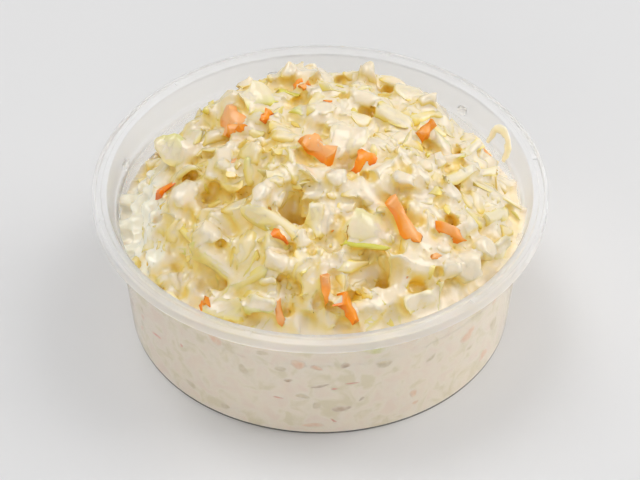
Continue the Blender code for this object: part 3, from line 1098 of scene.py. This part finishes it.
# thin in places, so that the bits show bare, and thicker in others, where it coats them
coating = blurred(np.random.default_rng(12).random((cells, cells)), 4)
coating = np.clip((coating - coating.min()) / (coating.max() - coating.min()) * 1.6 - 0.3, 0.0, 1.0)
coat = grid_value(coating, mesh_points(film.data)) * coat_more + coat_least
swollen(film.data, coat - film_reach)
bm = bmesh.new()
bm.from_mesh(film.data)
bm.verts.ensure_lookup_table()
todo = set(bm.verts)
islands = []
for vert in bm.verts:
    if vert not in todo:
        continue
    todo.remove(vert)
    stack = [vert]
    island = [vert]
    while stack:
        vert = stack.pop()
        for edge in vert.link_edges:
            other = edge.other_vert(vert)
            if other in todo:
                todo.remove(other)
                stack.append(other)
                island.append(other)
    islands.append(island)
islands.sort(key=len, reverse=True)
for island in islands[1:]:
    bmesh.ops.delete(bm, geom=island, context="VERTS")
low_verts = [vert for vert in bm.verts if vert.co.z < body_bottom + 0.0005]
low = set(low_verts)
low_edges = [edge for edge in bm.edges if edge.verts[0] in low and edge.verts[1] in low]
bmesh.ops.dissolve_limit(bm, angle_limit=math.radians(20), verts=low_verts, edges=low_edges)
bm.to_mesh(film.data)
bm.free()
points = mesh_points(film.data)
radius = np.hypot(points[:, 0], points[:, 1])
reach = wall_inside(points[:, 2])
close = (radius > reach - 0.0015) & (points[:, 2] < cup_height)
share = np.where(close, (reach + film_press) / np.maximum(radius, 1e-6), 1.0)
points[:, 0] *= share
points[:, 1] *= share
radius *= share
set_mesh_points(film.data, points)
for name in [a.name for a in film.data.attributes if a.name == "tone"]:
    film.data.attributes.remove(film.data.attributes[name])
whiter = np.zeros(len(points))
for x, y, width, length, height in pools:
    near = ((points[:, 0] - x) ** 2 + (points[:, 1] - y) ** 2) / 0.0034 ** 2
    whiter = np.maximum(whiter, np.clip(1.6 - near, 0.0, 1.0))
bit_points = [mesh_points(kind.data) for kind in (dice, leaves, shreds, crumbs)]
bit_tones = []
for kind in (dice, leaves, shreds, crumbs):
    tones = np.zeros(len(kind.data.vertices))
    kind.data.attributes["tone"].data.foreach_get("value", tones)
    bit_tones.append(tones)
bit_tones = np.concatenate(bit_tones)
bit_tree = KDTree(len(bit_tones))
for number, point in enumerate(np.concatenate(bit_points)):
    bit_tree.insert(point, number)
bit_tree.balance()
tones = bit_tones[[bit_tree.find(point)[1] for point in points]]
set_attribute(film.data, "tone", tones * 0.8 + 0.1)
set_attribute(film.data, "pooled", whiter)
set_attribute(film.data, "wall", np.clip(1.0 - (reach - radius - 0.0002) / 0.0012, 0.0, 1.0))
wall_open = 0.80
# the first colours are painted shade, dark gold in the hollows between the bits; the last is the open tops
creamy = coated_finish(
    "dressing",
    ((0.54, 0.25, 0.01), (0.85, 0.54, 0.05), (0.89, 0.69, 0.22), (0.885, 0.770, 0.585)),
    0.28, 0.8, 260.0, 0.35,
)
# Where it has pooled it is nearly white; against the wall it is paler too, and mottled by what lies
# just behind it.
nodes = creamy.node_tree.nodes
links = creamy.node_tree.links
coated_color = nodes["Principled BSDF"].inputs["Base Color"].links[0].from_socket
patches = noise(nodes, links, 210.0, 3.0)
patches.inputs["Distortion"].default_value = 0.6
wall_color = color_ramp(
    nodes, links, patches.outputs["Fac"],
    (0.34, (0.80, 0.71, 0.51)), (0.68, (0.88, 0.74, 0.61)), (0.48, (0.90, 0.805, 0.66)),
)
against = attribute(nodes, "wall").outputs["Fac"]
wall_mix = color_mix(nodes, links, against, coated_color, wall_color)
pooled = attribute(nodes, "pooled").outputs["Fac"]
pool_mix = color_mix(nodes, links, pooled, wall_mix.outputs["Result"], (1.0, 0.885, 0.72))
links.new(pool_mix.outputs["Result"], nodes["Principled BSDF"].inputs["Base Color"])
give_finish(film, creamy)
for polygon in film.data.polygons:
    polygon.use_smooth = True
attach(film, "root")
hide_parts("coleslaw")

# Where the salad slid down the wall a smear of dressing is left on the clear plastic, hook-shaped and
# thin at its edges: azimuth in degrees, height and half width in millimetres, along its length.
smear_path = np.array([
    (31.0, 32.4, 0.6), (30.7, 34.6, 1.0), (29.9, 36.9, 1.3), (27.7, 38.2, 1.3), (24.9, 38.4, 1.4),
    (23.1, 37.6, 1.6), (22.3, 36.2, 1.7), (21.8, 34.4, 1.5), (21.5, 32.4, 1.2),
])
smear_press = 0.00004
smear_thickness = 0.00050
bpy.ops.object.select_all(action="DESELECT")
bpy.ops.mesh.primitive_grid_add(x_subdivisions=36, y_subdivisions=8, size=1.0)
smear = bpy.context.active_object
smear.name = "dressing_smear"
place_in_mesh(smear)
thickened(smear)
unit = mesh_points(smear.data)
along = (unit[:, 0] + 0.5) * (len(smear_path) - 1)
steps = np.arange(len(smear_path))
azimuth = np.radians(np.interp(along, steps, smear_path[:, 0]))
rise = np.interp(along, steps, smear_path[:, 1]) / 1000.0
half_width = np.interp(along, steps, smear_path[:, 2]) / 1000.0
half_width *= 1.0 + 0.16 * np.sin(along * 2.3) + 0.08 * np.sin(along * 5.3 + 1.0)
ahead = np.gradient(smear_path[:, 0]) * 0.9
climb = np.gradient(smear_path[:, 1])
size = np.hypot(ahead, climb)
across_up = np.interp(along, steps, ahead / size)
across_side = np.interp(along, steps, -climb / size)
offset = unit[:, 1] * 2.0 * half_width
rise = rise + offset * across_up
inner_radius = wall_inside(rise)
azimuth = azimuth + offset * across_side / inner_radius
swell = 1.0 - np.abs(unit[:, 1] * 2.0) ** 2.5
depth = smear_press + (0.5 - unit[:, 2]) * -smear_thickness * swell
radius = inner_radius + depth
set_mesh_points(smear.data, np.stack([radius * np.cos(azimuth), radius * np.sin(azimuth), rise], axis=1))
bpy.ops.object.mode_set(mode="EDIT")
bpy.ops.mesh.select_all(action="SELECT")
bpy.ops.mesh.normals_make_consistent(inside=False)
bpy.ops.object.mode_set(mode="OBJECT")
bpy.ops.object.shade_smooth_by_angle(angle=math.radians(60.0))
give_finish(smear, creamy)
set_attribute(smear.data, "tone", np.full(len(unit), 0.5))
set_attribute(smear.data, "open", np.full(len(unit), 1.0))
set_attribute(smear.data, "pooled", np.full(len(unit), 0.8))
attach(smear, "root")
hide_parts("coleslaw")

# Under the bits the salad is one smooth body of dressed cabbage, down to the cup's floor. It
# reaches just into the plastic all round, so that no air shows between the two.
core_press = 0.00006
inner_corner = foot_corner - wall_thickness
inner_foot = foot_radius - wall_thickness
core_section = [(0.0, floor_thickness - core_press)]
core_section += arc(
    inner_foot - inner_corner, floor_thickness + inner_corner, inner_corner + core_press, -90, 0, 8
)
core_top = 0.0272
for up, out in ledge_curve:
    height = ledge_height + ledge_rise * up
    if height < lip_top:
        core_section += [(float(wall_inside(height)) + core_press, height)]
core_section += [
    (float(wall_inside(lip_top)) + core_press, lip_top),
    (0.0508, lip_top),
    (0.0500, core_top),
    (0.0, core_top),
]
core = turned("salad_core", core_section, 144)
bpy.ops.object.shade_smooth_by_angle(angle=math.radians(35.0))
give_finish(core, creamy)
core_points = mesh_points(core.data)
set_attribute(core.data, "tone", np.full(len(core_points), 0.6))
set_attribute(core.data, "open", np.full(len(core_points), wall_open))
set_attribute(core.data, "wall", np.ones(len(core_points)))
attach(core, "root")
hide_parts("coleslaw")

# Bits pressed against the wall: cabbage and carrot that show faintly through the side of the cup,
# veiled by the dressing between them and the wall. Each is a thin lens bent to the wall.
tan = (0.56, 0.40, 0.26)
peach = (0.84, 0.55, 0.36)
red = (0.84, 0.30, 0.20)
olive = (0.64, 0.53, 0.33)
leaf_green = (0.72, 0.70, 0.30)
# azimuth in degrees, height, length and width in millimetres, tilt in degrees, color
pressed = [
    (-75, 30.5, 9.0, 4.0, -6, leaf_green), (-70, 32.0, 6.0, 1.4, 14, olive),
    (-83, 26.0, 3.0, 3.0, 0, tan), (-84, 9.5, 6.4, 3.0, 10, tan), (-55, 31.0, 4.2, 2.6, 8, peach),
    (-96, 26.5, 5.0, 4.6, 80, peach), (-91, 25.5, 4.0, 2.4, -20, peach),
    (-81, 19.0, 4.4, 0.9, 0, red), (-102, 13.0, 4.2, 0.8, -8, red), (-86, 5.0, 2.6, 1.0, -40, red),
    (-86, 17.4, 2.4, 0.8, 4, red), (-62, 9.5, 3.6, 3.0, 60, peach), (-61, 5.5, 2.2, 2.0, 0, peach),
    (-127, 31.4, 9.0, 2.0, -10, peach), (-120, 28.8, 6.4, 3.4, -20, peach),
    (-133, 19.5, 1.6, 1.3, 0, red), (-131, 6.0, 4.4, 3.4, -30, olive),
    (-119, 4.0, 4.6, 2.4, 20, olive), (-101, 24.0, 3.6, 2.4, 0, olive),
    (-99, 20.0, 2.6, 1.8, 0, tan), (-95, 14.4, 4.4, 2.2, -12, olive), (-91, 11.0, 3.0, 3.0, 0, olive),
    (-78, 12.5, 2.4, 1.2, 40, tan), (-90, 18.5, 6.4, 1.4, 12, tan), (-92, 3.4, 7.0, 2.4, 0, peach),
    (-72, 24.4, 6.6, 3.2, -10, olive), (-57, 20.6, 4.0, 2.2, 40, olive),
    (-112, 21.0, 3.4, 5.0, 10, olive), (-106, 29.0, 5.0, 2.0, 0, olive),
]
scatter = random.Random(77)
for _ in range(50):
    azimuth = scatter.uniform(-48.0, 220.0)
    color = scatter.choice((tan, tan, peach, peach, olive, red))
    length = scatter.uniform(2.0, 7.5)
    width = length * scatter.uniform(0.3, 0.8)
    if color is red:
        width = length * 0.22
    pressed.append((azimuth, scatter.uniform(3.0, 27.0), length, width, scatter.uniform(-60, 60), color))
lens_sink = 0.00030
lens_half = 0.00046
bpy.ops.object.select_all(action="DESELECT")
bpy.ops.mesh.primitive_uv_sphere_add(segments=14, ring_count=10, radius=1.0, location=(0.0, 0.0, 0.0))
lens = bpy.context.active_object
bpy.ops.object.mode_set(mode="EDIT")
bpy.ops.mesh.select_all(action="SELECT")
bpy.ops.transform.vertex_random(offset=0.05, seed=4)
bpy.ops.object.mode_set(mode="OBJECT")
pieces = []
for number, (azimuth, height, length, width, tilt, color) in enumerate(pressed):
    bit = lens.copy()
    bit.data = lens.data.copy()
    bpy.context.collection.objects.link(bit)
    unit = mesh_points(bit.data)
    draw = np.random.default_rng(500 + number)
    around_bit = np.arctan2(unit[:, 1], unit[:, 0])
    starts = draw.uniform(0.0, math.tau, 3)
    outline_wave = 1.0 + 0.16 * np.sin(2 * around_bit + starts[0]) + 0.12 * np.sin(3 * around_bit + starts[1])
    along = unit[:, 0] * outline_wave * length / 2000.0
    across = unit[:, 1] * outline_wave * width / 2000.0
    turn = math.radians(tilt)
    z = height / 1000.0 + along * math.sin(turn) + across * math.cos(turn)
    z = np.clip(z, foot_corner, None)
    sideways = along * math.cos(turn) - across * math.sin(turn)
    radius = wall_inside(z) + core_press - lens_sink + unit[:, 2] * lens_half
    angle = math.radians(azimuth) + sideways / radius
    set_mesh_points(bit.data, np.stack([radius * np.cos(angle), radius * np.sin(angle), z], axis=1))
    rho = np.hypot(unit[:, 0], unit[:, 1])
    set_attribute(bit.data, "veil", np.clip((0.88 - rho) / 0.38, 0.0, 1.0))
    tint = bit.data.attributes.new("tint", "FLOAT_COLOR", "POINT")
    tint.data.foreach_set("color", np.tile((*color, 1.0), len(unit)).astype(np.float32))
    pieces.append(bit)
bpy.data.objects.remove(lens)
wall_bits = joined("bits_at_the_wall", pieces)
for polygon in wall_bits.data.polygons:
    polygon.use_smooth = True
veiled = bpy.data.materials.new("bits_behind_dressing")
veiled.use_nodes = True
nodes = veiled.node_tree.nodes
links = veiled.node_tree.links
shader = nodes["Principled BSDF"]
cloud = noise(nodes, links, 700.0, 2.0).outputs["Fac"]
denser = calculated(nodes, links, "MULTIPLY", cloud, 1.4).outputs["Value"]
thin = calculated(nodes, links, "MULTIPLY", attribute(nodes, "veil").outputs["Fac"], denser)
thin.use_clamp = True
blend = nodes.new("ShaderNodeMix")
blend.data_type = "RGBA"
blend.inputs["A"].default_value = (0.88, 0.79, 0.65, 1.0)
links.new(thin.outputs["Value"], blend.inputs["Factor"])
links.new(attribute(nodes, "tint").outputs["Color"], blend.inputs["B"])
links.new(blend.outputs["Result"], shader.inputs["Base Color"])
set_inputs(shader, {
    "Roughness": 0.4, "Subsurface Weight": 0.6, "Subsurface Radius": (1.0, 0.9, 0.7),
    "Subsurface Scale": 0.0005,
})
give_finish(wall_bits, veiled)
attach(wall_bits, "root")
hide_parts("coleslaw")

# How open each place on the salad is to the light: rays sent out from it that meet nothing within a
# few millimetres. The finishes above read it and paint shade by it, darker and more golden where less is
# open; what lies against the cup's wall counts as open.
ray_count = 14
ray_length = 0.0052
ray_lift = 0.00018
in_shade = 0.66
in_light = 0.36
deepening = 1.12
salad_pieces = (dice, leaves, shreds, crumbs, carrots, film)
all_points = []
all_faces = []
start = 0
for piece in salad_pieces:
    all_points.append(mesh_points(piece.data))
    all_faces += [tuple(start + v for v in polygon.vertices) for polygon in piece.data.polygons]
    start += len(piece.data.vertices)
salad_tree = BVHTree.FromPolygons(np.concatenate(all_points).tolist(), all_faces)
golden = math.pi * (3.0 - math.sqrt(5.0))
fan = []
for n in range(ray_count):
    rise = 1.0 - 0.86 * (n + 0.5) / ray_count
    around_fan = math.sqrt(1.0 - rise * rise)
    fan.append(Vector((around_fan * math.cos(golden * n), around_fan * math.sin(golden * n), rise)))
upright = Vector((0.0, 0.0, 1.0))
toward_window = Vector((0.44, -0.05, 0.90)).normalized()


def free_length(origin, ray):
    """How far a ray gets before it meets a piece from outside, or None if it meets nothing."""
    gone = 0.0
    for _ in range(4):
        hit = salad_tree.ray_cast(origin, ray, ray_length - gone)
        if hit[3] is None:
            return None
        gone += hit[3]
        if hit[1].dot(ray) < 0.0:
            return gone
        origin = hit[0] + ray * 0.00001
    return None


for piece in salad_pieces:
    points = mesh_points(piece.data)
    gap = wall_inside(points[:, 2]) - np.hypot(points[:, 0], points[:, 1])
    against = np.clip(1.0 - (gap - 0.0002) / 0.0008, 0.0, 1.0) * (points[:, 2] < cup_height)
    values = []
    for vertex, touching in zip(piece.data.vertices, against):
        if touching == 1.0:
            values.append(wall_open)
            continue
        normal = vertex.normal
        lean = upright.rotation_difference(normal)
        origin = vertex.co + normal * ray_lift
        free = 0.0
        weight = 0.0
        for direction in fan:
            weight += direction.z
            ray = lean @ direction
            gone = free_length(origin, ray)
            free += direction.z * (1.0 if gone is None else 0.5 * gone / ray_length)
        # painted shade: the undersides of bits, and the sides away from the window, count as less open and
        # are painted yellower, for the light that reaches them only through their neighbours
        facing = min(1.0, max(0.0, normal.dot(toward_window) * 1.22))
        values.append(free / weight * (in_shade + in_light * facing))
    values = np.array(values)
    joints = np.zeros(len(piece.data.edges) * 2, np.int32)
    piece.data.edges.foreach_get("vertices", joints)
    first, second = joints[0::2], joints[1::2]
    # evened out between neighbours, so that no corner stands out as a dark speck
    total = np.bincount(first, values[second], len(values))
    total += np.bincount(second, values[first], len(values))
    neighbours = np.bincount(first, minlength=len(values)) + np.bincount(second, minlength=len(values))
    values = 0.5 * values + 0.5 * total / np.maximum(neighbours, 1)
    values = np.clip(values, 0.0, 1.0) ** deepening
    values = values + (wall_open - values) * against
    set_attribute(piece.data, "open", values)
